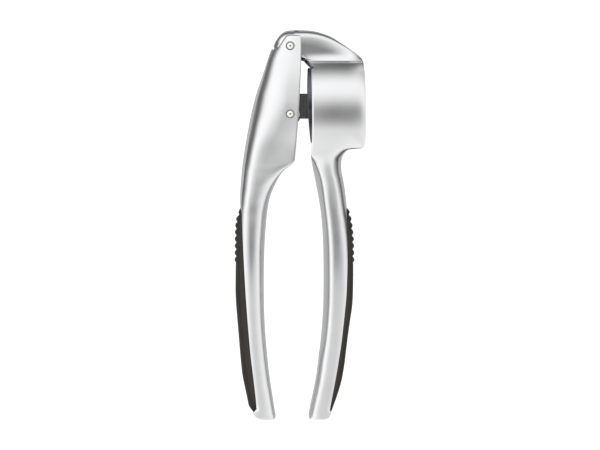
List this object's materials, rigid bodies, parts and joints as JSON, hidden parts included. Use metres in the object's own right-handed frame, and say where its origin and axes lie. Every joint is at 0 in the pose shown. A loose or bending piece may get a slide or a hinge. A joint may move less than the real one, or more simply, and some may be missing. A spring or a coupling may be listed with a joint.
{
  "type": "garlic press",
  "caption": "Hand-held garlic press with a satin metal hopper half and lever half on one hinge, a pivoting plunger, a perforated sieve basket and ribbed black grips.",
  "frame": {"origin": "centre of the bounding box in X and Y, at the lowest side of the hopper, with the press lying on its side", "axes": "+Y along the press from the handle ends towards the hinge, +X from the lever half to the hopper half, +Z across its width; the hinge's axis is parallel to Z"},
  "size_m": [0.0594, 0.1752, 0.032],
  "materials": {
    "satin_chrome": "satin chrome on a fine-blasted zinc casting",
    "sieve_steel": "dark polished stainless steel",
    "charcoal_metal": "charcoal coating with fine drawn lines",
    "black_grip": "matt black elastomer",
    "black_plastic": "moulded, matt",
    "polished_steel": "polished",
    "nylon": "natural nylon"
  },
  "bodies": {
    "hopper": {"hopper_body": "satin_chrome", "sieve_basket": "sieve_steel", "hopper_grip": "black_grip", "hopper_grip_core": "black_plastic"},
    "lever": {"plunger_lever": "satin_chrome", "lever_grip": "black_grip", "lever_grip_core": "black_plastic", "hinge_pin_barrel": "polished_steel", "hinge_pin_screw": "polished_steel", "hinge_pin_washer_front": "nylon", "hinge_pin_washer_back": "nylon", "plunger_pin_barrel": "polished_steel", "plunger_pin_screw": "polished_steel", "plunger_pin_washer_front": "nylon", "plunger_pin_washer_back": "nylon"},
    "plunger": {"plunger": "charcoal_metal"}
  },
  "joints": [
    {"name": "hinge", "type": "hinge", "parent": "hopper", "child": "lever", "pos_m": [-0.0044, 0.0804, 0.016], "axis": [0, 0, -1], "range_deg": [-4.8, 65]},
    {"name": "plunger_pivot", "type": "hinge", "parent": "lever", "child": "plunger", "pos_m": [-0.0044, 0.0498, 0.016], "axis": [0, 0, -1], "range_deg": [-39.5, 3]}
  ],
  "couplings": [
    {"joint": "plunger_pivot", "follows": "hinge", "ratio": -0.6}
  ]
}
